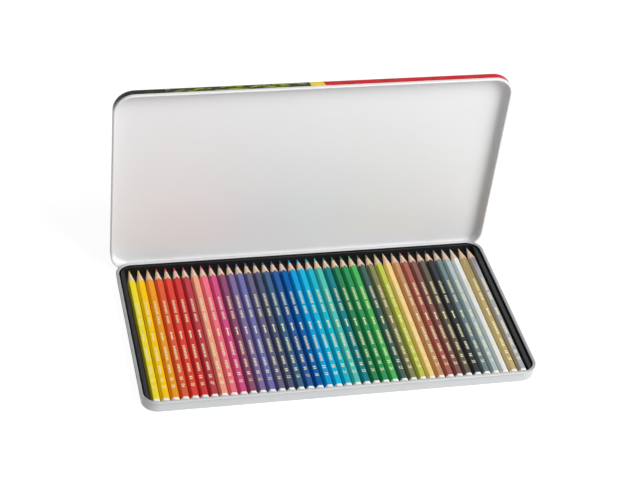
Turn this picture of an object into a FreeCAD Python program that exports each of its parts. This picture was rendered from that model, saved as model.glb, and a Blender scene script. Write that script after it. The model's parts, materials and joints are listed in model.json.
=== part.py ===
import FreeCAD
import Part
import math
import os
from FreeCAD import Vector

# A flat hinged tin of coloured pencils with its lid open. Millimetres, +Z up, +Y to the hinge.
# The origin is the middle of the flat underside of the tin.

# Pencils: six-sided, lying on a flat with their points to the hinge
pencil_count = 40
pencil_length = 175.0
pencil_flats = 6.7
pencil_gap = 0.16
cone_length = 17.3
tip_diameter = 0.5
lead_diameter = 2.8
glue_line = 0.05
end_round = 0.9
corner_margin = 0.1

# Liner: one formed plastic sheet with a well for the row of pencils, a ridge round it and a groove round that
liner_sheet = 0.4
floor_height = 1.85
well_side_room = 0.4
well_end_room = 0.2
well_draft = 0.5
well_corner = 2.0
ridge_side = 3.4
ridge_front = 2.1
ridge_back = 1.9
ridge_drop = 1.8
front_drop = 3.4
ridge_round = 0.3
ridge_flat = 0.05
groove_side = 2.1
groove_end = 0.5
groove_depth = 3.2
lip_drop = 1.0
bridge_width = 22.0
liner_room = 0.3

# Base tray: drawn tinplate with a rolled rim
sheet = 0.3
base_height = 10.6
base_corner = 15.0
base_bottom_round = 1.2
bead_diameter = 1.5
bead_neck = 2.2

# Lid: drawn tinplate that slips over the tray, with a rolled hem
lid_seat = 0.3
lid_room = 1.0
lid_round = 3.5
hem_diameter = 1.8
hem_neck = 1.5
hem_gap = 0.9

# Hinge: wire pins held in the lid's hem, turning in lugs curled out of the tray's back wall
hinge_names = ["left", "middle", "right"]
hinge_spacing = 120.0
lid_open_angle = 84.5
lug_width = 9.4
lug_side_room = 0.3
lug_top_room = 0.4
lug_window = 5.0
pin_length = 26.0
pin_hem_room = 0.02
pin_lug_room = 0.05

overrun = 1.0
quarter_turn = 90.0
match_share = 0.01

# Sizes that follow from the ones above
pencil_corners = pencil_flats / math.cos(math.pi / 6)
pencil_pitch = pencil_corners + pencil_gap
row_width = (pencil_count - 1) * pencil_pitch + pencil_corners
well_width = row_width + 2 * well_side_room
well_depth = pencil_length + 2 * well_end_room
well_shift = (ridge_front - ridge_back) / 2
floor_level = sheet + floor_height
ridge_level = base_height - ridge_drop
groove_level = ridge_level - groove_depth
front_level = base_height - front_drop
lip_level = base_height - lip_drop
ridge_width = well_width + 2 * (well_draft + ridge_side)
ridge_depth = well_depth + 2 * well_draft + ridge_front + ridge_back
liner_width = ridge_width + 2 * (groove_side + liner_sheet)
liner_depth = ridge_depth + 2 * (groove_end + liner_sheet)
tray_width = liner_width + 2 * liner_room
tray_depth = liner_depth + 2 * liner_room
tray_corner = base_corner - bead_diameter
wall_width = tray_width + 2 * sheet
wall_depth = tray_depth + 2 * sheet
wall_corner = tray_corner + sheet
base_width = tray_width + 2 * bead_diameter
base_depth = tray_depth + 2 * bead_diameter
liner_corner = tray_corner - liner_room
ridge_corner = liner_corner - liner_sheet - groove_side
lid_overhang = lid_room + hem_diameter
lid_width = base_width + 2 * lid_overhang
lid_depth = base_depth + 2 * lid_overhang
lid_corner = base_corner + lid_overhang
lid_top = base_height + lid_seat + sheet
hem_radius = hem_diameter / 2
hinge_y = lid_depth / 2 - hem_radius
hinge_z = hem_gap + hem_radius
pin_radius = hem_radius - sheet - pin_hem_room
lug_bore = pin_radius + pin_lug_room
lug_radius = lug_bore + sheet


def outline_face(first, *steps):
    """Closed face from points in order; a pair (middle, end) continues by an arc."""
    edges = []
    here = first
    for step in steps + (first,):
        if isinstance(step, tuple):
            edges.append(Part.Arc(here, step[0], step[1]).toShape())
            here = step[1]
        else:
            edges.append(Part.makeLine(here, step))
            here = step
    return Part.Face(Part.Wire(edges))


def rounded_wire(width, depth, front_corner, back_corner, level, shift=0):
    """Rounded rectangle at a level, its middle shifted along Y."""
    arcs = []
    for turn, (side_x, side_y) in enumerate([(1, -1), (1, 1), (-1, 1), (-1, -1)]):
        corner = front_corner if side_y < 0 else back_corner
        middle = Vector(side_x * (width / 2 - corner), shift + side_y * (depth / 2 - corner), level)
        start = (turn - 1) * quarter_turn
        arcs.append(Part.makeCircle(corner, middle, Vector(0, 0, 1), start, start + quarter_turn))
    edges = []
    for arc, following in zip(arcs, arcs[1:] + arcs[:1]):
        edges.append(arc)
        end = arc.valueAt(arc.LastParameter)
        edges.append(Part.makeLine(end, following.valueAt(following.FirstParameter)))
    return Part.Wire(edges)


def rounded_prism(width, depth, corner, low, high):
    """Upright block with a rounded rectangle as its plan."""
    plan = rounded_wire(width, depth, corner, corner, low)
    return Part.Face(plan).extrude(Vector(0, 0, high - low))


def round_level(solid, level, radius):
    """Round every edge that lies flat at a level."""
    near = match_share * radius
    edges = [e for e in solid.Edges if all(abs(v.Z - level) < near for v in e.Vertexes)]
    return solid.makeFillet(radius, edges)


def drawn_edge(width, depth, corner, profile):
    """Carry a profile, drawn in XZ with its outer face at X = 0, round a rounded rectangle."""
    pieces = []
    for side in range(4):
        reach, along = (width, depth) if side % 2 == 0 else (depth, width)
        run = along - 2 * corner
        straight = profile.translated(Vector(reach / 2, -run / 2, 0)).extrude(Vector(0, run, 0))
        centre = Vector(reach / 2 - corner, run / 2, 0)
        bend = profile.translated(Vector(reach / 2, run / 2, 0))
        bend = bend.revolve(centre, Vector(0, 0, 1), quarter_turn)
        for piece in (straight, bend):
            piece.rotate(Vector(0, 0, 0), Vector(0, 0, 1), side * quarter_turn)
            pieces.append(piece)
    return pieces[0].multiFuse(pieces[1:])


def block(low, high):
    """Box between two corners."""
    size = high - low
    return Part.makeBox(size.x, size.y, size.z, low)


def hinge_places():
    """The hinges and the place of each along X."""
    middle = (len(hinge_names) - 1) / 2
    return [(name, (i - middle) * hinge_spacing) for i, name in enumerate(hinge_names)]


def pencil():
    """Sharpened six-sided casing and the lead in it, lying along Y about the origin."""
    stock_radius = pencil_corners / 2 + corner_margin
    tip_radius = tip_diameter / 2
    front = -pencil_length / 2
    point = pencil_length / 2
    shoulder = point - cone_length * (stock_radius - tip_radius) / (pencil_flats / 2 - tip_radius)
    flat_end = pencil_flats / 2 - end_round
    bend = stock_radius - flat_end
    slant = bend * math.cos(math.pi / 4)
    turned = outline_face(
        Vector(0, front, 0),
        Vector(flat_end, front, 0),
        (Vector(flat_end + slant, front + bend - slant, 0), Vector(stock_radius, front + bend, 0)),
        Vector(stock_radius, shoulder, 0),
        Vector(tip_radius, point, 0),
        Vector(0, point, 0),
    ).revolve(Vector(0, 0, 0), Vector(0, 1, 0), 4 * quarter_turn)
    corners = []
    for i in range(6):
        angle = i * math.pi / 3
        reach = pencil_corners / 2
        corners.append(Vector(reach * math.cos(angle), front, reach * math.sin(angle)))
    hexagon = outline_face(*corners).extrude(Vector(0, pencil_length, 0))
    lead_radius = lead_diameter / 2
    start = Vector(0, front, 0)
    bore = Part.makeCylinder(lead_radius + glue_line, pencil_length, start, Vector(0, 1, 0))
    core = Part.makeCylinder(lead_radius, pencil_length, start, Vector(0, 1, 0))
    casing = hexagon.common(turned).cut(bore)
    return Part.makeCompound([casing.Solids[0], core.common(turned).Solids[0]])


def well_corner_beside(border):
    """Corner of the well that leaves the ridge room for both its rounds at the ridge's own corner."""
    land = 2 * ridge_round + ridge_flat
    bite = math.sqrt(2 * (ridge_side - land) * (border - land))
    return max(well_corner, ridge_corner - ridge_side - border + land - bite - well_draft)


def well_space(grow):
    """The drafted space of the well, larger by grow at its sides and floor."""
    wires = []
    for level in (floor_level - grow, ridge_level + overrun):
        spread = grow + well_draft * (level - floor_level) / (ridge_level - floor_level)
        width = well_width + 2 * spread
        depth = well_depth + 2 * spread
        front_corner = well_corner_beside(ridge_front) + spread
        back_corner = well_corner_beside(ridge_back) + spread
        wires.append(rounded_wire(width, depth, front_corner, back_corner, level, well_shift))
    return Part.makeLoft(wires, True, True)


def border_space(grow):
    """The space round and above the ridge, inside the lip, larger by grow at its walls and floor."""
    low = groove_level - grow
    high = lip_level + overrun
    inset = liner_sheet - grow
    space = rounded_prism(liner_width - 2 * inset, liner_depth - 2 * inset, liner_corner - inset, low, high)
    width = ridge_width - 2 * grow
    depth = ridge_depth - 2 * grow
    return space.cut(rounded_prism(width, depth, ridge_corner - grow, low, ridge_level))


def front_space(grow):
    """The space over the low front of the ridge, where the pencils' ends show, larger by grow."""
    half = well_width / 2 - well_corner_beside(ridge_front) - 2 * ridge_round + grow
    front = liner_depth / 2 - liner_sheet + grow
    return block(Vector(-half, -front, front_level - grow), Vector(half, 0, lip_level + overrun))


def liner():
    """Formed sheet, open below: well, ridge, groove and lip, with bridges over the groove at the hinges."""
    body = rounded_prism(liner_width, liner_depth, liner_corner, sheet, lip_level)
    body = round_level(body, sheet, base_bottom_round - sheet)
    body = body.cut(border_space(0)).cut(well_space(0)).cut(front_space(0))
    body = round_level(body, ridge_level, ridge_round)
    under = rounded_prism(
        liner_width - 2 * liner_sheet,
        liner_depth - 2 * liner_sheet,
        liner_corner - liner_sheet,
        sheet - overrun,
        ridge_level - liner_sheet,
    )
    for space in (border_space, well_space, front_space):
        under = under.cut(space(liner_sheet))
    body = body.cut(under)
    for name, place in hinge_places():
        low = Vector(place - bridge_width / 2, ridge_depth / 2 - liner_sheet, groove_level - liner_sheet)
        high = Vector(place + bridge_width / 2, liner_depth / 2, lip_level)
        body = body.fuse(block(low, high))
    return body.removeSplitter()


def hinge_lug(place):
    """Tongue of the back wall, led out and curled down round the hinge pin."""
    root = wall_depth / 2 - sheet
    top = hinge_z + lug_radius
    under = top - sheet
    meet = hinge_y - math.sqrt(lug_radius**2 - (under - hinge_z) ** 2)
    side = place - lug_width / 2
    section = outline_face(
        Vector(side, root, top),
        Vector(side, hinge_y, top),
        (Vector(side, hinge_y, hinge_z - lug_radius), Vector(side, meet, under)),
        Vector(side, root, under),
    )
    bore = Part.makeCylinder(lug_bore, lug_width, Vector(side, hinge_y, hinge_z), Vector(1, 0, 0))
    return section.extrude(Vector(lug_width, 0, 0)).cut(bore)


def base_pan():
    """Drawn tray with its rolled rim, the lugs and the windows that they leave in the back wall."""
    neck = base_height - bead_neck
    outside = rounded_prism(wall_width, wall_depth, wall_corner, 0, neck)
    outside = round_level(outside, 0, base_bottom_round)
    inside = rounded_prism(tray_width, tray_depth, tray_corner, sheet, neck + overrun)
    inside = round_level(inside, sheet, base_bottom_round - sheet)
    bead_radius = bead_diameter / 2
    bead_level = base_height - bead_radius
    wall_face = sheet - bead_diameter
    under = bead_level - math.sqrt(bead_radius**2 - (bead_radius + wall_face) ** 2)
    rim = outline_face(
        Vector(-bead_diameter, 0, neck),
        Vector(-bead_diameter, 0, bead_level),
        (Vector(0, 0, bead_level), Vector(wall_face, 0, under)),
        Vector(wall_face, 0, neck),
    )
    pan = outside.cut(inside).fuse(drawn_edge(base_width, base_depth, base_corner, rim))
    window_foot = hinge_z + lug_radius
    for name, place in hinge_places():
        low = Vector(place - lug_width / 2, tray_depth / 2 - overrun, window_foot)
        high = Vector(place + lug_width / 2, wall_depth / 2 + overrun, window_foot + lug_window)
        pan = pan.cut(block(low, high)).fuse(hinge_lug(place))
    return pan.removeSplitter()


def lid_pan():
    """Drawn lid, as closed: panel, skirt and rolled hem, notched and bored at the hinges."""
    neck = hinge_z + hem_neck
    outside = rounded_prism(lid_width, lid_depth, lid_corner, neck, lid_top)
    outside = round_level(outside, lid_top, lid_round)
    under_panel = lid_top - sheet
    inside = rounded_prism(
        lid_width - 2 * sheet, lid_depth - 2 * sheet, lid_corner - sheet, neck - overrun, under_panel
    )
    inside = round_level(inside, under_panel, lid_round - sheet)
    meet = hinge_z + math.sqrt(hem_radius**2 - (hem_radius - sheet) ** 2)
    hem = outline_face(
        Vector(0, 0, neck),
        Vector(0, 0, hinge_z),
        (Vector(-hem_diameter, 0, hinge_z), Vector(-sheet, 0, meet)),
        Vector(-sheet, 0, neck),
    )
    pan = outside.cut(inside).fuse(drawn_edge(lid_width, lid_depth, lid_corner, hem))
    notch_half = lug_width / 2 + lug_side_room
    notch_top = hinge_z + lug_radius + lug_top_room
    bore_length = pin_length + 2 * pin_hem_room
    for name, place in hinge_places():
        start = Vector(place - bore_length / 2, hinge_y, hinge_z)
        pan = pan.cut(Part.makeCylinder(hem_radius - sheet, bore_length, start, Vector(1, 0, 0)))
        low = Vector(place - notch_half, hinge_y - hem_diameter, hinge_z - hem_diameter)
        high = Vector(place + notch_half, lid_depth / 2 + overrun, notch_top)
        pan = pan.cut(block(low, high))
    return pan.removeSplitter()


def hinge_pin(place):
    """Straight wire in the hem, across the lug's notch."""
    start = Vector(place - pin_length / 2, hinge_y, hinge_z)
    return Part.makeCylinder(pin_radius, pin_length, start, Vector(1, 0, 0))


def opened(shape):
    """Swing a piece of the closed lid up about the hinge."""
    turned = shape.copy()
    turned.rotate(Vector(0, hinge_y, hinge_z), Vector(1, 0, 0), -lid_open_angle)
    return turned


def save(name, shape):
    """Write one node and print what it holds."""
    shape.exportStep(os.path.join("parts", name + ".step"))
    print(name, "solids", len(shape.Solids), "valid", shape.isValid(), "volume", round(shape.Volume, 2))


os.makedirs("parts", exist_ok=True)
save("base_pan", base_pan())
save("liner", liner())
save("lid_pan", opened(lid_pan()))
for name, place in hinge_places():
    save("hinge_pin_" + name, opened(hinge_pin(place)))
one_pencil = pencil()
for i in range(pencil_count):
    across = (i - (pencil_count - 1) / 2) * pencil_pitch
    seat = Vector(across, well_shift, floor_level + pencil_flats / 2)
    save(f"pencil_{i + 1:02d}", one_pencil.translated(seat))
print("base", base_width, base_depth, base_height)
print("lid", lid_width, lid_depth, "hinge axis", hinge_y, hinge_z)
print("pencil pitch", pencil_pitch)
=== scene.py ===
import json
import math

import bmesh
import bpy
from mathutils import Matrix, Vector


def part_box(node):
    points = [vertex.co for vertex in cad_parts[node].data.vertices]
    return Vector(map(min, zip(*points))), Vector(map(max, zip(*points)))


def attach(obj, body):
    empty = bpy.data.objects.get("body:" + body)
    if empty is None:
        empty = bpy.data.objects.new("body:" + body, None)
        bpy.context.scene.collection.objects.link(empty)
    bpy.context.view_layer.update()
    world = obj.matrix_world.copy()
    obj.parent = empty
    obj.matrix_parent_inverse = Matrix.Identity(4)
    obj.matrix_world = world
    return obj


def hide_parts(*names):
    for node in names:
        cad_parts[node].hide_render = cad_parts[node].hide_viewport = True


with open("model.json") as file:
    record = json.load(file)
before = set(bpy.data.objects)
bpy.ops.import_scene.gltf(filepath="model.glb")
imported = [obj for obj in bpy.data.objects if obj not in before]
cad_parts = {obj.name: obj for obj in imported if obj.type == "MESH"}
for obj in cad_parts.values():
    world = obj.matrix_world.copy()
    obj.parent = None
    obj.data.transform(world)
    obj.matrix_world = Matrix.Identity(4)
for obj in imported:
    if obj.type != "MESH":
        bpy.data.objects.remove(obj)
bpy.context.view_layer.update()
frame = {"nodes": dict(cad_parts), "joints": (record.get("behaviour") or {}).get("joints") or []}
print("frame:", len(frame["nodes"]), "nodes")

mm = 0.001  # the pieces' sizes below are in millimetres, the camera's and the studio's in metres
smoothNoise, softNoise, roughNoise = 1.0, 2.0, 3.0  # layers of finer detail in a noise
mixShare, mixFrom, mixTo, mixColour = 0, 6, 7, 2  # sockets of a Mix node for colours, and its result
blendFrom, blendTo = 2, 3  # sockets of a Mix node for plain numbers
scene = bpy.context.scene
lidHinge = frame["joints"][0]
hingePlace = Vector(lidHinge["pos_m"])
openAngle = math.radians(-lidHinge["range_deg"][0])


def linear(hexColour):
    # the sRGB curve, undone
    channels = [int(hexColour[i:i + 2], 16) / 255 for i in (0, 2, 4)]
    return [c / 12.92 if c <= 0.04045 else ((c + 0.055) / 1.055) ** 2.4 for c in channels] + [1.0]


def perMetre(sizeMm):
    return 1 / (sizeMm * mm)  # texture scale for a detail of this size


def addNode(tree, kind, inputs, **settings):
    node = tree.nodes.new("ShaderNode" + kind)
    for name, value in settings.items():
        setattr(node, name, value)
    for name, value in inputs.items():
        if isinstance(value, bpy.types.NodeSocket):
            tree.links.new(value, node.inputs[name])
        else:
            node.inputs[name].default_value = value
    return node


def newTree(name):
    material = bpy.data.materials.new(name)
    material.use_nodes = True
    material.node_tree.nodes.clear()
    return material, material.node_tree


def addMesh(name, points, faces, materials, faceSlots=None, flatSlot=None, sharpRings=()):
    mesh = bpy.data.meshes.new(name)
    mesh.from_pydata(points, [], faces)
    for material in materials:
        mesh.materials.append(material)
    for polygon in mesh.polygons:
        if faceSlots:
            polygon.material_index = faceSlots[polygon.index]
        polygon.use_smooth = faceSlots is not None and polygon.material_index != flatSlot
    sharp = {frozenset(pair) for ring in sharpRings for pair in zip(ring, ring[1:] + ring[:1])}
    for edge in mesh.edges:
        edge.use_edge_sharp = frozenset(edge.vertices) in sharp
    piece = bpy.data.objects.new(name, mesh)
    scene.collection.objects.link(piece)
    return piece


def seenDirectly(tree):
    # true for what the camera sees itself, in a gloss or through glass
    light = addNode(tree, "LightPath", {})
    seen = light.outputs["Is Camera Ray"]
    for ray in ("Is Glossy Ray", "Is Transmission Ray"):
        seen = addNode(tree, "Math", {0: seen, 1: light.outputs[ray]}, operation="MAXIMUM").outputs[0]
    return seen


# Camera at the photograph's angle, worked out for a frame 640 pixels wide
camera = {
    "place": (-0.3139, -1.1186, 0.9411),
    "turn": 15.52,  # degrees from +Y towards +X
    "tilt": 38.17,  # degrees downwards
    "roll": 5.56,
    "focalPixels": 1746.3,
    "risePixels": 60,  # the photograph was cropped above its own middle
    "frameWidth": 640,
    "sensor": 36.0,  # millimetres
}
cameraData = bpy.data.cameras.new("camera")
cameraData.sensor_width = camera["sensor"]
cameraData.lens = camera["focalPixels"] / camera["frameWidth"] * camera["sensor"]
cameraData.shift_y = camera["risePixels"] / camera["frameWidth"]
cameraPiece = bpy.data.objects.new("camera", cameraData)
scene.collection.objects.link(cameraPiece)
cameraPiece.matrix_world = (
    Matrix.Translation(camera["place"])
    @ Matrix.Rotation(math.radians(-camera["turn"]), 4, "Z")
    @ Matrix.Rotation(math.radians(90 - camera["tilt"]), 4, "X")
    @ Matrix.Rotation(math.radians(camera["roll"]), 4, "Z")
)
scene.camera = cameraPiece
print("camera: lens", round(cameraData.lens, 1), "mm")

# Studio: a white sweep, soft room light, a large lamp high on the right and a weaker one in front
studio = {
    "floorSize": 6.0,
    "floorShade": "ececec",  # what the floor throws back on to the tin
    "floorLit": "8a8a8a",  # what is seen of the light and shadow on it
    "floorGlow": 0.91,  # and the white that is seen under that
    "roomLight": 0.24,
    "roomSeen": 1.0,
    "roomColour": "ffffff",
    "lamps": {
        "keyLamp": {"place": (1.15, -1.4, 1.7), "size": 1.5, "watts": 62.0},
        "frontLamp": {"place": (-0.2, -1.9, 0.8), "size": 1.4, "watts": 2.0},
    },
    "aim": (0.0, 0.0, 0.05),
}
floorMaterial, tree = newTree("seamlessPaperWhite")
paper = addNode(tree, "BsdfDiffuse", {"Color": linear(studio["floorShade"])})
shaded = addNode(tree, "BsdfDiffuse", {"Color": linear(studio["floorLit"])})
glow = addNode(tree, "Emission", {"Strength": studio["floorGlow"]})
white = addNode(tree, "AddShader", {0: shaded.outputs[0], 1: glow.outputs[0]})
floorShown = addNode(tree, "MixShader", {0: seenDirectly(tree), 1: paper.outputs[0], 2: white.outputs[0]})
addNode(tree, "OutputMaterial", {"Surface": floorShown.outputs[0]})
half = studio["floorSize"] / 2
floorCorners = [(-half, -half, 0), (half, -half, 0), (half, half, 0), (-half, half, 0)]
floor = addMesh("floor", floorCorners, [(0, 1, 2, 3)], [floorMaterial])

world = bpy.data.worlds.new("softRoom")
scene.world = world
world.use_nodes = True
tree = world.node_tree
tree.nodes.clear()
level = addNode(
    tree,
    "MapRange",
    {"Value": seenDirectly(tree), "To Min": studio["roomLight"], "To Max": studio["roomSeen"]},
)
room = addNode(tree, "Background", {"Color": linear(studio["roomColour"]), "Strength": level.outputs[0]})
addNode(tree, "OutputWorld", {"Surface": room.outputs[0]})

for name, lamp in studio["lamps"].items():
    lampData = bpy.data.lights.new(name, "AREA")
    lampData.shape = "DISK"
    lampData.size = lamp["size"]
    lampData.energy = lamp["watts"]
    lampPiece = bpy.data.objects.new(name, lampData)
    scene.collection.objects.link(lampPiece)
    lampPiece.location = lamp["place"]
    towards = Vector(studio["aim"]) - Vector(lamp["place"])
    lampPiece.rotation_euler = towards.to_track_quat("-Z", "Y").to_euler()
scene.view_settings.view_transform = "Standard"
print("studio: floor, room light and", len(studio["lamps"]), "lamps")

# Stoved enamel on drawn tinplate: even pale grey, satin, with the faint orange peel of a sprayed coat
tray = {
    "light": "c9cbcc",
    "shade": "c1c3c4",
    "cloudSize": 60.0,
    "peelSize": 1.6,  # real peel is about 0.8 mm, drawn coarser so that it shows
    "peelDepth": 0.012,
    "roughness": (0.30, 0.40),
    "ior": 1.5,
    "specular": 0.2,
}
trayEnamel, tree = newTree("stovedEnamelPaleGrey")
place = addNode(tree, "TexCoord", {}).outputs["Object"]
cloud = addNode(tree, "TexNoise", {"Vector": place, "Scale": perMetre(tray["cloudSize"]), "Detail": roughNoise})
peel = addNode(tree, "TexNoise", {"Vector": place, "Scale": perMetre(tray["peelSize"]), "Detail": smoothNoise})
tint = addNode(
    tree,
    "Mix",
    {mixShare: cloud.outputs[0], mixFrom: linear(tray["shade"]), mixTo: linear(tray["light"])},
    data_type="RGBA",
)
sheen = addNode(
    tree, "MapRange", {"Value": peel.outputs[0], "To Min": tray["roughness"][0], "To Max": tray["roughness"][1]}
)
skin = addNode(tree, "Bump", {"Height": peel.outputs[0], "Distance": tray["peelDepth"] * mm})
coat = addNode(
    tree,
    "BsdfPrincipled",
    {
        "Base Color": tint.outputs[mixColour],
        "Roughness": sheen.outputs[0],
        "Normal": skin.outputs[0],
        "IOR": tray["ior"],
        "Specular IOR Level": tray["specular"],
    },
)
addNode(tree, "OutputMaterial", {"Surface": coat.outputs[0]})
frame["nodes"]["base_pan"].material_slots[0].material = trayEnamel

# Enamel on the tray's rolled rim, with painted shade: greyer towards the left and right sides, in faint cloudy
# patches
rim = {
    "enamel": "c9cbcc",
    "paintedShadeGrey": "989a9c",
    "patchSize": 6.0,
    "paintedShadeFrom": (150.0, 163.0),  # distance from the middle where the painted shade starts and where it is full
    "paintedShadePatches": 0.35,
    "roughness": (0.24, 0.36),
    "ior": 1.5,
    "specular": 0.3,
    "width": 2.8,
    "curlRadius": 0.75,
    "innerRadius": 0.95,
    "cover": 0.005,  # how far it stands over the tray's own curl
    "curlFrom": 170.0,  # degrees; the tray's own curl shows below this
    "foot": 0.4,  # where its underside meets the tray's own curl, above the liner's lip
    "corner": 15.0,
    "cornerSteps": 16,
    "curlSteps": 6,
}
rimEnamel, tree = newTree("enamelGreyPaintedShadeAtSides")
place = addNode(tree, "TexCoord", {}).outputs["Object"]
patchNoise = addNode(tree, "TexNoise", {"Vector": place, "Scale": perMetre(rim["patchSize"]), "Detail": roughNoise})
# Painted shade: the rim's enamel is mixed towards the darker grey at both sides, in cloudy patches
split = addNode(tree, "SeparateXYZ", {"Vector": place})
side = addNode(tree, "Math", {0: split.outputs["X"]}, operation="ABSOLUTE")
side = addNode(
    tree,
    "MapRange",
    {"Value": side.outputs[0], "From Min": rim["paintedShadeFrom"][0] * mm, "From Max": rim["paintedShadeFrom"][1] * mm},
    interpolation_type="SMOOTHSTEP",
)
patch = addNode(tree, "MapRange", {"Value": patchNoise.outputs[0], "To Min": 1 - rim["paintedShadePatches"], "To Max": 1.0})
darkened = addNode(tree, "Math", {0: side.outputs[0], 1: patch.outputs[0]}, operation="MULTIPLY")
tint = addNode(
    tree,
    "Mix",
    {mixShare: darkened.outputs[0], mixFrom: linear(rim["enamel"]), mixTo: linear(rim["paintedShadeGrey"])},
    data_type="RGBA",
)
sheen = addNode(
    tree, "MapRange", {"Value": patchNoise.outputs[0], "To Min": rim["roughness"][0], "To Max": rim["roughness"][1]}
)
coat = addNode(
    tree,
    "BsdfPrincipled",
    {
        "Base Color": tint.outputs[mixColour],
        "Roughness": sheen.outputs[0],
        "IOR": rim["ior"],
        "Specular IOR Level": rim["specular"],
    },
)
addNode(tree, "OutputMaterial", {"Surface": coat.outputs[0]})


def rimSection(top):
    # inset from the tray's outside and height, from the outside over the top to the inside and back below
    top = top / mm + rim["cover"]
    outer = rim["curlRadius"] + rim["cover"]
    inner = rim["innerRadius"]
    section = []
    for middle, radius, start, end in (
        (rim["curlRadius"], outer, rim["curlFrom"], 90.0),
        (rim["width"] - inner, inner, 90.0, 0.0),
    ):
        for step in range(rim["curlSteps"] + 1):
            angle = math.radians(start + (end - start) * step / rim["curlSteps"])
            section.append((middle + radius * math.cos(angle), top - radius + radius * math.sin(angle)))
    section.append((rim["foot"], section[-1][1]))
    return section


low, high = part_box("base_pan")
halfWidth = high.x / mm
halfDepth = -low.y / mm
points = []
rings = []
for inset, level in rimSection(high.z):
    first = len(points)
    for turn, (sideX, sideY) in enumerate([(1, 1), (-1, 1), (-1, -1), (1, -1)]):
        for step in range(rim["cornerSteps"] + 1):
            angle = (turn + step / rim["cornerSteps"]) * math.pi / 2
            x = sideX * (halfWidth - rim["corner"]) + (rim["corner"] - inset) * math.cos(angle)
            y = sideY * (halfDepth - rim["corner"]) + (rim["corner"] - inset) * math.sin(angle)
            points.append((x * mm, y * mm, level * mm))
    rings.append(list(range(first, len(points))))
faces = []
for ring, nextRing in zip(rings, rings[1:] + rings[:1]):
    for i in range(len(ring)):
        j = (i + 1) % len(ring)
        faces.append([ring[i], ring[j], nextRing[j], nextRing[i]])
rolledRim = addMesh(
    "rolledRim", points, faces, [rimEnamel], [0] * len(faces), sharpRings=[rings[0], rings[-1], rings[-2]]
)
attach(rolledRim, "base")

# Printed tinplate: roller-coated white enamel inside, a varnished colour print outside that stops above the hem
lid = {
    "light": "e5e5e6",
    "shade": "e0e0e1",
    "cloudSize": 90.0,
    "peelSize": 1.8,  # drawn coarser than the real 0.8 mm
    "peelDepth": 0.010,
    "roughness": (0.32, 0.42),
    "varnish": 0.24,  # roughness over the print
    "ior": 1.5,
    "specular": 0.2,
    "hemBare": 3.4,  # height above the table, closed, where the print starts
    "slant": 0.55,  # how far the bands lean across the panel
    "wobble": 7.0,  # how far their edges sway
    "wobbleSize": 30.0,
    "before": "000000",
    "bands": [  # where each starts along the front edge in metres, its ground and its brush strokes
        (-0.190, "0e120b", "262f14"),
        (-0.128, "26350f", "8a9a26"),
        (-0.006, "e7c21c", "f3e07c"),
        (0.006, "cf1820", "b4101a"),
    ],
    "strokeLength": 9.0,
    "strokeSize": 1.8,
    "strokeEdge": (0.50, 0.58),  # share of the noise where a stroke begins and where it is full
}
lidReach = hingePlace.y  # the closed lid reaches as far before the middle as its hinge lies behind it
lidPrint, tree = newTree("lithographedEnamelOnTinplate")
place = addNode(tree, "TexCoord", {}).outputs["Object"]
closed = addNode(
    tree, "VectorRotate", {"Vector": place, "Center": hingePlace, "Angle": openAngle}, rotation_type="X_AXIS"
).outputs[0]
facing = addNode(
    tree,
    "VectorTransform",
    {"Vector": addNode(tree, "NewGeometry", {}).outputs["Normal"]},
    vector_type="NORMAL",
    convert_from="WORLD",
    convert_to="OBJECT",
)
facing = addNode(
    tree, "VectorRotate", {"Vector": facing.outputs[0], "Angle": openAngle}, rotation_type="X_AXIS"
)
# A face is outside where it looks away from the middle of the lid's mouth
mouth = addNode(tree, "VectorMath", {0: closed, 1: (0, 0, hingePlace.z)}, operation="SUBTRACT")
away = addNode(tree, "VectorMath", {0: mouth.outputs[0], 1: facing.outputs[0]}, operation="DOT_PRODUCT")
outside = addNode(tree, "Math", {0: away.outputs["Value"], 1: 0.0}, operation="GREATER_THAN")
split = addNode(tree, "SeparateXYZ", {"Vector": closed})
above = addNode(tree, "Math", {0: split.outputs["Z"], 1: lid["hemBare"] * mm}, operation="GREATER_THAN")
printed = addNode(tree, "Math", {0: outside.outputs[0], 1: above.outputs[0]}, operation="MULTIPLY").outputs[0]
sway = addNode(tree, "TexNoise", {"Vector": closed, "Scale": perMetre(lid["wobbleSize"]), "Detail": softNoise})
sway = addNode(
    tree,
    "MapRange",
    {"Value": sway.outputs[0], "To Min": -lid["wobble"] * mm, "To Max": lid["wobble"] * mm},
)
lean = addNode(
    tree,
    "Math",
    {0: split.outputs["Y"], 1: lid["slant"], 2: split.outputs["X"]},
    operation="MULTIPLY_ADD",
)
lean = addNode(tree, "Math", {0: lean.outputs[0], 1: sway.outputs[0]}, operation="ADD").outputs[0]
brush = addNode(
    tree,
    "Mapping",
    {
        "Vector": closed,
        "Scale": (perMetre(lid["strokeLength"]), perMetre(lid["strokeSize"]), perMetre(lid["strokeSize"])),
    },
)
brush = addNode(tree, "TexNoise", {"Vector": brush.outputs[0], "Scale": 1.0, "Detail": roughNoise})
stroke = addNode(
    tree,
    "MapRange",
    {"Value": brush.outputs[0], "From Min": lid["strokeEdge"][0], "From Max": lid["strokeEdge"][1]},
).outputs[0]
colour = linear(lid["before"])
for start, ground, paint in lid["bands"]:
    past = addNode(tree, "Math", {0: lean, 1: start - lid["slant"] * lidReach}, operation="GREATER_THAN")
    band = addNode(
        tree, "Mix", {mixShare: stroke, mixFrom: linear(ground), mixTo: linear(paint)}, data_type="RGBA"
    )
    colour = addNode(
        tree,
        "Mix",
        {mixShare: past.outputs[0], mixFrom: colour, mixTo: band.outputs[mixColour]},
        data_type="RGBA",
    ).outputs[mixColour]
cloud = addNode(tree, "TexNoise", {"Vector": closed, "Scale": perMetre(lid["cloudSize"]), "Detail": roughNoise})
peel = addNode(tree, "TexNoise", {"Vector": closed, "Scale": perMetre(lid["peelSize"]), "Detail": smoothNoise})
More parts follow.
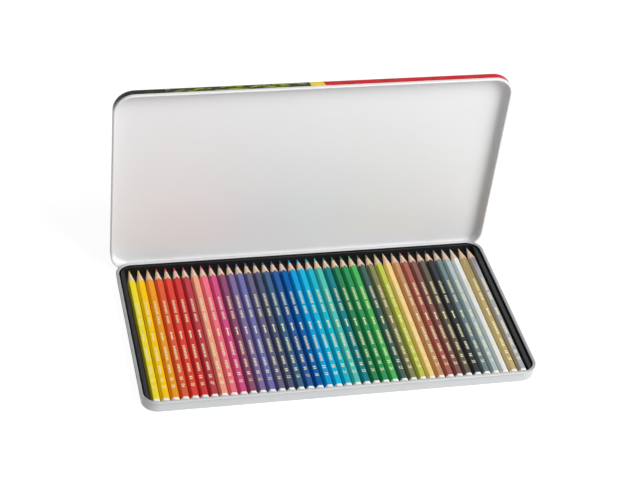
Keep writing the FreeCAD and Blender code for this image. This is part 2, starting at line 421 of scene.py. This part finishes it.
tint = addNode(
    tree,
    "Mix",
    {mixShare: cloud.outputs[0], mixFrom: linear(lid["shade"]), mixTo: linear(lid["light"])},
    data_type="RGBA",
)
shown = addNode(
    tree, "Mix", {mixShare: printed, mixFrom: tint.outputs[mixColour], mixTo: colour}, data_type="RGBA"
)
sheen = addNode(
    tree, "MapRange", {"Value": peel.outputs[0], "To Min": lid["roughness"][0], "To Max": lid["roughness"][1]}
)
sheen = addNode(
    tree, "Mix", {mixShare: printed, blendFrom: sheen.outputs[0], blendTo: lid["varnish"]}, data_type="FLOAT"
)
skin = addNode(tree, "Bump", {"Height": peel.outputs[0], "Distance": lid["peelDepth"] * mm})
coat = addNode(
    tree,
    "BsdfPrincipled",
    {
        "Base Color": shown.outputs[mixColour],
        "Roughness": sheen.outputs[0],
        "Normal": skin.outputs[0],
        "IOR": lid["ior"],
        "Specular IOR Level": lid["specular"],
    },
)
addNode(tree, "OutputMaterial", {"Surface": coat.outputs[0]})
frame["nodes"]["lid_pan"].material_slots[0].material = lidPrint

# Vacuum-formed black polystyrene: a soft gloss on the sheet's skin, a little uneven where it was drawn
liner = {
    "black": "121214",
    "grey": "1a1a1c",
    "cloudSize": 14.0,
    "grainSize": 1.2,  # real grain is about 0.4 mm, drawn coarser so that it shows
    "grainDepth": 0.010,
    "roughness": (0.34, 0.46),
    "ior": 1.57,
    "specular": 0.3,
}
linerPlastic, tree = newTree("vacuumFormedBlackPolystyrene")
place = addNode(tree, "TexCoord", {}).outputs["Object"]
cloud = addNode(
    tree, "TexNoise", {"Vector": place, "Scale": perMetre(liner["cloudSize"]), "Detail": roughNoise}
)
grain = addNode(
    tree, "TexNoise", {"Vector": place, "Scale": perMetre(liner["grainSize"]), "Detail": softNoise}
)
tint = addNode(
    tree,
    "Mix",
    {mixShare: cloud.outputs[0], mixFrom: linear(liner["black"]), mixTo: linear(liner["grey"])},
    data_type="RGBA",
)
sheen = addNode(
    tree,
    "MapRange",
    {"Value": cloud.outputs[0], "To Min": liner["roughness"][0], "To Max": liner["roughness"][1]},
)
skin = addNode(tree, "Bump", {"Height": grain.outputs[0], "Distance": liner["grainDepth"] * mm})
sheet = addNode(
    tree,
    "BsdfPrincipled",
    {
        "Base Color": tint.outputs[mixColour],
        "Roughness": sheen.outputs[0],
        "Normal": skin.outputs[0],
        "IOR": liner["ior"],
        "Specular IOR Level": liner["specular"],
    },
)
addNode(tree, "OutputMaterial", {"Surface": sheet.outputs[0]})
frame["nodes"]["liner"].material_slots[0].material = linerPlastic

# Cold-drawn steel wire: bright metal with fine drawing lines along it
pin = {
    "steel": "b4b6ba",
    "dark": "9a9ca1",
    "lineSize": 0.25,  # real lines are finer than 0.05 mm, drawn coarser so that they show close by
    "lineLength": 8.0,
    "roughness": (0.22, 0.38),
}
pinSteel, tree = newTree("drawnSteelWire")
place = addNode(tree, "TexCoord", {}).outputs["Object"]
along = addNode(
    tree,
    "Mapping",
    {
        "Vector": place,
        "Scale": (perMetre(pin["lineLength"]), perMetre(pin["lineSize"]), perMetre(pin["lineSize"])),
    },
)
lines = addNode(tree, "TexNoise", {"Vector": along.outputs[0], "Scale": 1.0, "Detail": softNoise})
tint = addNode(
    tree,
    "Mix",
    {mixShare: lines.outputs[0], mixFrom: linear(pin["dark"]), mixTo: linear(pin["steel"])},
    data_type="RGBA",
)
sheen = addNode(
    tree, "MapRange", {"Value": lines.outputs[0], "To Min": pin["roughness"][0], "To Max": pin["roughness"][1]}
)
wire = addNode(
    tree,
    "BsdfPrincipled",
    {"Base Color": tint.outputs[mixColour], "Roughness": sheen.outputs[0], "Metallic": 1.0},
)
addNode(tree, "OutputMaterial", {"Surface": wire.outputs[0]})
for side in ("left", "middle", "right"):
    frame["nodes"]["hinge_pin_" + side].material_slots[0].material = pinSteel
print("tin: tray, lid, liner and hinge wires finished")

# Pencils: six-sided, dipped in lacquer, white at the end, sharpened to a long cone
pencil = {
    "cornerRound": 0.7,
    "cornerSteps": 4,
    "flatSteps": 8,
    "endRound": 0.9,
    "cornerMargin": 0.1,  # how far the end's round reaches past the corners
    "endSteps": 4,
    "coneLength": 17.3,
    "coneShares": (0, 0.35, 0.7, 1),  # rings between the lacquer and the lead
    "tipDiameter": 0.5,
    "tipRings": ((1.0, 0.3), (0.7, 0.08)),  # radius and distance from the end, in radii of the blunted tip
    "leadDiameter": 2.8,
    "lacquers": {
        "lemon": "f3e030", "gold yellow": "fdcf16", "orange": "f2a12a", "flame": "e4613c", "poppy": "e44a3e",
        "scarlet": "d63f3e", "raspberry": "c0444f", "salmon": "f5a78c", "pink": "f27889", "magenta": "d7558a",
        "plum": "935175", "violet": "826e9f", "periwinkle": "7274b0", "aubergine": "6a6686", "night": "535a76",
        "slate blue": "43678c", "navy": "2d60a2", "cobalt": "0862ac", "cerulean": "0aa0dc", "sky": "10b8de",
        "turquoise": "18b8ce", "jade": "52c4b8", "teal": "1c858e", "fir": "2f865a", "grass": "30985d",
        "leaf": "4db761", "pine": "456661", "olive": "86865c", "lime": "c3ca52", "straw": "f8d48a",
        "tan": "c8966c", "russet": "b1655a", "maroon": "8c5e58", "umber": "6b6256", "black": "3c3f43",
        "steel grey": "73888c", "mist": "b2c2c4", "white": "e8ebe9", "old gold": "cab37a", "silver": "b1b1b6",
    },
    "metallics": ("old gold", "silver"),
    "metallic": 0.55,  # share of bronze powder that shows in these
    "streakSize": 0.9,
    "streakLength": 30.0,
    "streakShade": 0.86,
    "flowSize": 3.5,
    "flowDepth": 0.012,
    "roughness": (0.16, 0.26),
    "ior": 1.5,
    "specular": 0.08,
}
dipSlot, lacquerSlot, woodSlot, leadSlot, foilSlot = range(5)  # order of a pencil's materials

# Dipped white lacquer: opaque and glossy, a little uneven where it ran to the end
dip = {"white": "f0efed", "shade": "e6e4e0", "length": 2.3, "roughness": (0.2, 0.3), "ior": 1.5}
dipWhite, tree = newTree("dippedWhiteLacquer")
place = addNode(tree, "TexCoord", {}).outputs["Object"]
flow = addNode(tree, "TexNoise", {"Vector": place, "Scale": perMetre(pencil["flowSize"]), "Detail": softNoise})
tint = addNode(
    tree,
    "Mix",
    {mixShare: flow.outputs[0], mixFrom: linear(dip["shade"]), mixTo: linear(dip["white"])},
    data_type="RGBA",
)
skin = addNode(tree, "Bump", {"Height": flow.outputs[0], "Distance": pencil["flowDepth"] * mm})
sheen = addNode(
    tree, "MapRange", {"Value": flow.outputs[0], "To Min": dip["roughness"][0], "To Max": dip["roughness"][1]}
)
coat = addNode(
    tree,
    "BsdfPrincipled",
    {
        "Base Color": tint.outputs[mixColour],
        "Roughness": sheen.outputs[0],
        "Normal": skin.outputs[0],
        "IOR": dip["ior"],
    },
)
addNode(tree, "OutputMaterial", {"Surface": coat.outputs[0]})

# Sharpened cedar: pale warm wood, matt, with its grain lines running to the point
cedar = {
    "light": "f2d8c0",
    "dark": "dab294",
    "grainSize": 0.9,  # real grain is about 0.3 mm, drawn coarser so that it shows
    "grainLength": 12.0,
    "cutDepth": 0.02,
    "roughness": 0.62,
    "ior": 1.45,
}
cedarWood, tree = newTree("sharpenedCedar")
place = addNode(tree, "TexCoord", {}).outputs["Object"]
along = addNode(
    tree,
    "Mapping",
    {
        "Vector": place,
        "Scale": (perMetre(cedar["grainSize"]), perMetre(cedar["grainLength"]), perMetre(cedar["grainSize"])),
    },
)
grain = addNode(tree, "TexNoise", {"Vector": along.outputs[0], "Scale": 1.0, "Detail": roughNoise})
tint = addNode(
    tree,
    "Mix",
    {mixShare: grain.outputs[0], mixFrom: linear(cedar["dark"]), mixTo: linear(cedar["light"])},
    data_type="RGBA",
)
skin = addNode(tree, "Bump", {"Height": grain.outputs[0], "Distance": cedar["cutDepth"] * mm})
wood = addNode(
    tree,
    "BsdfPrincipled",
    {
        "Base Color": tint.outputs[mixColour],
        "Normal": skin.outputs[0],
        "Roughness": cedar["roughness"],
        "IOR": cedar["ior"],
    },
)
addNode(tree, "OutputMaterial", {"Surface": wood.outputs[0]})

# Hot-stamped foil: thin pale gold, duller in small spots where it took less well
foil = {
    "bright": "f8f5cc",
    "darkened": "e2d9a4",
    "wearSize": 0.8,
    "roughness": (0.34, 0.50),
    "thickness": 0.012,
    "sunk": 0.03,
    "height": 2.4,
    "lozenge": 2.1,
    "bar": 0.7,
    "pitch": 3.6,
    "groups": [(0.285, 5), (0.402, 3), (0.63, 5), (0.763, 3)],  # start, as a share from the point, and count
    "signStart": 0.53,
    "signLozenge": 4.2,
    "signBar": 6.5,
    "signBarWidth": 1.2,
    "blockPlace": 0.860,
    "blockBar": 1.3,
    "blockStep": 2.3,
    "numberPlace": 0.910,
    "numberHeight": 4.0,
    "numberWeight": 0.07,  # how far the strokes are thickened
    "numberSteps": 3,
    "numberWeld": 0.0005,  # points of a stroke that lie closer than this become one
}
goldFoil, tree = newTree("hotStampedGoldFoil")
place = addNode(tree, "TexCoord", {}).outputs["Object"]
wear = addNode(tree, "TexNoise", {"Vector": place, "Scale": perMetre(foil["wearSize"]), "Detail": roughNoise})
tint = addNode(
    tree,
    "Mix",
    {mixShare: wear.outputs[0], mixFrom: linear(foil["darkened"]), mixTo: linear(foil["bright"])},
    data_type="RGBA",
)
sheen = addNode(
    tree, "MapRange", {"Value": wear.outputs[0], "To Min": foil["roughness"][0], "To Max": foil["roughness"][1]}
)
leaf = addNode(
    tree,
    "BsdfPrincipled",
    {"Base Color": tint.outputs[mixColour], "Roughness": sheen.outputs[0], "Metallic": 1.0},
)
addNode(tree, "OutputMaterial", {"Surface": leaf.outputs[0]})


# Dipped nitrocellulose lacquer: full even colour under a thin smooth gloss, with faint streaks along the pencil
# from drawing it through the bath
def lacquerFinish(name, hexColour):
    material, tree = newTree("dippedLacquer-" + name.replace(" ", "-"))
    place = addNode(tree, "TexCoord", {}).outputs["Object"]
    along = addNode(
        tree,
        "Mapping",
        {
            "Vector": place,
            "Scale": (
                perMetre(pencil["streakSize"]), perMetre(pencil["streakLength"]), perMetre(pencil["streakSize"])
            ),
        },
    )
    streak = addNode(tree, "TexNoise", {"Vector": along.outputs[0], "Scale": 1.0, "Detail": softNoise})
    flow = addNode(
        tree, "TexNoise", {"Vector": place, "Scale": perMetre(pencil["flowSize"]), "Detail": smoothNoise}
    )
    full = linear(hexColour)
    deep = [c * pencil["streakShade"] for c in full[:3]] + [1.0]
    tint = addNode(tree, "Mix", {mixShare: streak.outputs[0], mixFrom: deep, mixTo: full}, data_type="RGBA")
    sheen = addNode(
        tree,
        "MapRange",
        {"Value": flow.outputs[0], "To Min": pencil["roughness"][0], "To Max": pencil["roughness"][1]},
    )
    skin = addNode(tree, "Bump", {"Height": flow.outputs[0], "Distance": pencil["flowDepth"] * mm})
    coat = addNode(
        tree,
        "BsdfPrincipled",
        {
            "Base Color": tint.outputs[mixColour],
            "Roughness": sheen.outputs[0],
            "Normal": skin.outputs[0],
            "IOR": pencil["ior"],
            "Specular IOR Level": pencil["specular"],
            "Metallic": pencil["metallic"] if name in pencil["metallics"] else 0.0,
        },
    )
    addNode(tree, "OutputMaterial", {"Surface": coat.outputs[0]})
    return material


# Pressed pigment and wax: the lacquer's colour, a little lighter and nearly matt, speckled with pigment
lead = {
    "speckSize": 0.5,  # real specks are about 0.05 mm, drawn coarser so that they show close by
    "speckShade": 0.85,
    "speckDepth": 0.01,
    "roughness": 0.5,
    "ior": 1.45,
    "lift": 0.8,  # a power, below 1 it lightens the colour
}


def leadFinish(name, hexColour):
    material, tree = newTree("pressedPigmentLead-" + name.replace(" ", "-"))
    place = addNode(tree, "TexCoord", {}).outputs["Object"]
    speck = addNode(
        tree, "TexNoise", {"Vector": place, "Scale": perMetre(lead["speckSize"]), "Detail": roughNoise}
    )
    full = [c ** lead["lift"] for c in linear(hexColour)]
    deep = [c * lead["speckShade"] for c in full[:3]] + [1.0]
    tint = addNode(tree, "Mix", {mixShare: speck.outputs[0], mixFrom: deep, mixTo: full}, data_type="RGBA")
    skin = addNode(tree, "Bump", {"Height": speck.outputs[0], "Distance": lead["speckDepth"] * mm})
    core = addNode(
        tree,
        "BsdfPrincipled",
        {
            "Base Color": tint.outputs[mixColour],
            "Normal": skin.outputs[0],
            "Roughness": lead["roughness"],
            "IOR": lead["ior"],
        },
    )
    addNode(tree, "OutputMaterial", {"Surface": core.outputs[0]})
    return material


def hexSection(corners):
    # points round the pencil, corners rounded, in metres from its axis
    radius = pencil["cornerRound"] * mm
    reach = corners / 2 - radius / math.cos(math.pi / 6)
    section = []
    for side in range(6):
        middle = side * math.pi / 3
        arc = []
        for step in range(pencil["cornerSteps"] + 1):
            angle = middle + (step / pencil["cornerSteps"] - 0.5) * math.pi / 3
            arc.append(
                Vector((
                    reach * math.cos(middle) + radius * math.cos(angle),
                    reach * math.sin(middle) + radius * math.sin(angle),
                ))
            )
        section += arc
        nextMiddle = middle + math.pi / 3
        flatEnd = Vector((
            reach * math.cos(nextMiddle) + radius * math.cos(middle + math.pi / 6),
            reach * math.sin(nextMiddle) + radius * math.sin(middle + math.pi / 6),
        ))
        for step in range(1, pencil["flatSteps"]):
            section.append(arc[-1].lerp(flatEnd, step / pencil["flatSteps"]))
    return section


def slab(points, faces, slots, outline, low, high, slot):
    first = len(points)
    count = len(outline)
    points += [(x, y, low) for x, y in outline] + [(x, y, high) for x, y in outline]
    faces.append([first + i for i in reversed(range(count))])
    faces.append([first + count + i for i in range(count)])
    for i in range(count):
        j = (i + 1) % count
        faces.append([first + i, first + j, first + count + j, first + count + i])
    slots += [slot] * (count + 2)


def numberMesh(words, height, depth):
    text = bpy.data.curves.new("number", "FONT")
    text.body = words
    text.size = height
    text.extrude = depth / 2
    text.offset = foil["numberWeight"] * mm
    text.align_x = "CENTER"
    text.align_y = "CENTER"
    text.resolution_u = foil["numberSteps"]
    holder = bpy.data.objects.new("number", text)
    mesh = bpy.data.meshes.new_from_object(holder)
    form = bmesh.new()
    form.from_mesh(mesh)
    bmesh.ops.remove_doubles(form, verts=form.verts, dist=foil["numberWeld"] * mm)
    bmesh.ops.dissolve_degenerate(form, edges=form.edges, dist=foil["numberWeld"] * mm)
    bmesh.ops.recalc_face_normals(form, faces=form.faces)
    form.verts.index_update()
    points = [v.co.copy() for v in form.verts]
    faces = [[v.index for v in face.verts] for face in form.faces]
    form.free()
    bpy.data.objects.remove(holder)
    bpy.data.curves.remove(text)
    bpy.data.meshes.remove(mesh)
    return points, faces


def makePencil(number, colourName, hexColour):
    node = f"pencil_{number:02d}"
    low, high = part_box(node)
    axisX = (low.x + high.x) / 2
    axisZ = (low.z + high.z) / 2
    flats = high.z - low.z
    corners = high.x - low.x
    tipRadius = pencil["tipDiameter"] / 2 * mm
    leadRadius = pencil["leadDiameter"] / 2 * mm
    slope = (flats / 2 - tipRadius) / (pencil["coneLength"] * mm)
    flatEnd = flats / 2 - pencil["endRound"] * mm
    bend = corners / 2 + pencil["cornerMargin"] * mm - flatEnd
    section = hexSection(corners)
    columns = len(section)
    points = []
    rings = []

    def ring(radiusAndPlace):
        first = len(points)
        for spot in section:
            radius, y = radiusAndPlace(spot.length)
            points.append((axisX + spot.x * radius / spot.length, y, axisZ + spot.y * radius / spot.length))
        rings.append(list(range(first, first + columns)))

    def endBend(share):
        def at(full):
            angle = share * math.asin((full - flatEnd) / bend)
            return flatEnd + bend * math.sin(angle), low.y + bend * (1 - math.cos(angle))
        return at

    def cone(share):
        def at(full):
            radius = full + share * (leadRadius - full)
            return radius, high.y - (radius - tipRadius) / slope
        return at

    for step in range(pencil["endSteps"] + 1):
        ring(endBend(step / pencil["endSteps"]))
    dipRing = len(rings)
    ring(lambda full: (full, low.y + dip["length"] * mm))
    shoulderRing = len(rings)
    for share in pencil["coneShares"]:
        ring(cone(share))
    leadRing = len(rings) - 1
    ring(lambda full: ((leadRadius + tipRadius) / 2, high.y - (leadRadius - tipRadius) / 2 / slope))
    for wide, back in pencil["tipRings"]:
        ring(lambda full: (tipRadius * wide, high.y - tipRadius * back))
    endMiddle = len(points)
    points.append((axisX, low.y, axisZ))
    tipMiddle = len(points)
    points.append((axisX, high.y, axisZ))

    faces = []
    slots = []
    for i in range(columns):
        faces.append([endMiddle, rings[0][i], rings[0][(i + 1) % columns]])
        slots.append(dipSlot)
    starts = [(leadRing, leadSlot), (shoulderRing, woodSlot), (dipRing, lacquerSlot), (0, dipSlot)]
    for row in range(len(rings) - 1):
        slot = next(slot for start, slot in starts if row >= start)
        for i in range(columns):
            j = (i + 1) % columns
            faces.append([rings[row][i], rings[row + 1][i], rings[row + 1][j], rings[row][j]])
            slots.append(slot)
    for i in range(columns):
        faces.append([rings[-1][i], tipMiddle, rings[-1][(i + 1) % columns]])
        slots.append(leadSlot)

    length = high.y - low.y
    foilLow = high.z - foil["sunk"] * mm
    foilHigh = high.z + foil["thickness"] * mm
    tall = foil["height"] / 2 * mm

    def lozenge(y, long, wide):
        outline = [(axisX, y - long), (axisX + wide, y), (axisX, y + long), (axisX - wide, y)]
        slab(points, faces, slots, outline, foilLow, foilHigh, foilSlot)

    def bar(y, long, wide):
        left, right = axisX - wide, axisX + wide
        outline = [(left, y - long), (right, y - long), (right, y + long), (left, y + long)]
        slab(points, faces, slots, outline, foilLow, foilHigh, foilSlot)

    for start, count in foil["groups"]:
        for i in range(count):
            y = high.y - start * length - i * foil["pitch"] * mm
            lozenge(y, foil["lozenge"] / 2 * mm, tall)
            bar(y - foil["pitch"] / 2 * mm, foil["bar"] / 2 * mm, tall)
    y = high.y - foil["signStart"] * length
    lozenge(y, foil["signLozenge"] / 2 * mm, tall)
    y -= (foil["signLozenge"] + foil["signBar"]) / 2 * mm
    bar(y, foil["signBar"] / 2 * mm, foil["signBarWidth"] / 2 * mm)
    for side in (-1, 1):
        y = high.y - foil["blockPlace"] * length + side * foil["blockStep"] / 2 * mm
        bar(y, foil["blockBar"] / 2 * mm, tall)
    # The number reads along the pencil, its top towards the right
    numberPoints, numberFaces = numberMesh(f"{number:02d}", foil["numberHeight"] * mm, foilHigh - foilLow)
    first = len(points)
    y = high.y - foil["numberPlace"] * length
    points += [(axisX + p.y, y - p.x, (foilLow + foilHigh) / 2 + p.z) for p in numberPoints]
    faces += [[first + v for v in face] for face in numberFaces]
    slots += [foilSlot] * len(numberFaces)

    lacquer = lacquerFinish(colourName, hexColour)
    pigment = leadFinish(colourName, hexColour)
    materials = [dipWhite, lacquer, cedarWood, pigment, goldFoil]
    piece = addMesh(
        f"colouredPencil{number:02d}", points, faces, materials, slots, foilSlot, [rings[shoulderRing]]
    )
    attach(piece, node)
    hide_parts(node)


for index, (colourName, hexColour) in enumerate(pencil["lacquers"].items()):
    makePencil(index + 1, colourName, hexColour)
print("pencils:", len(pencil["lacquers"]))
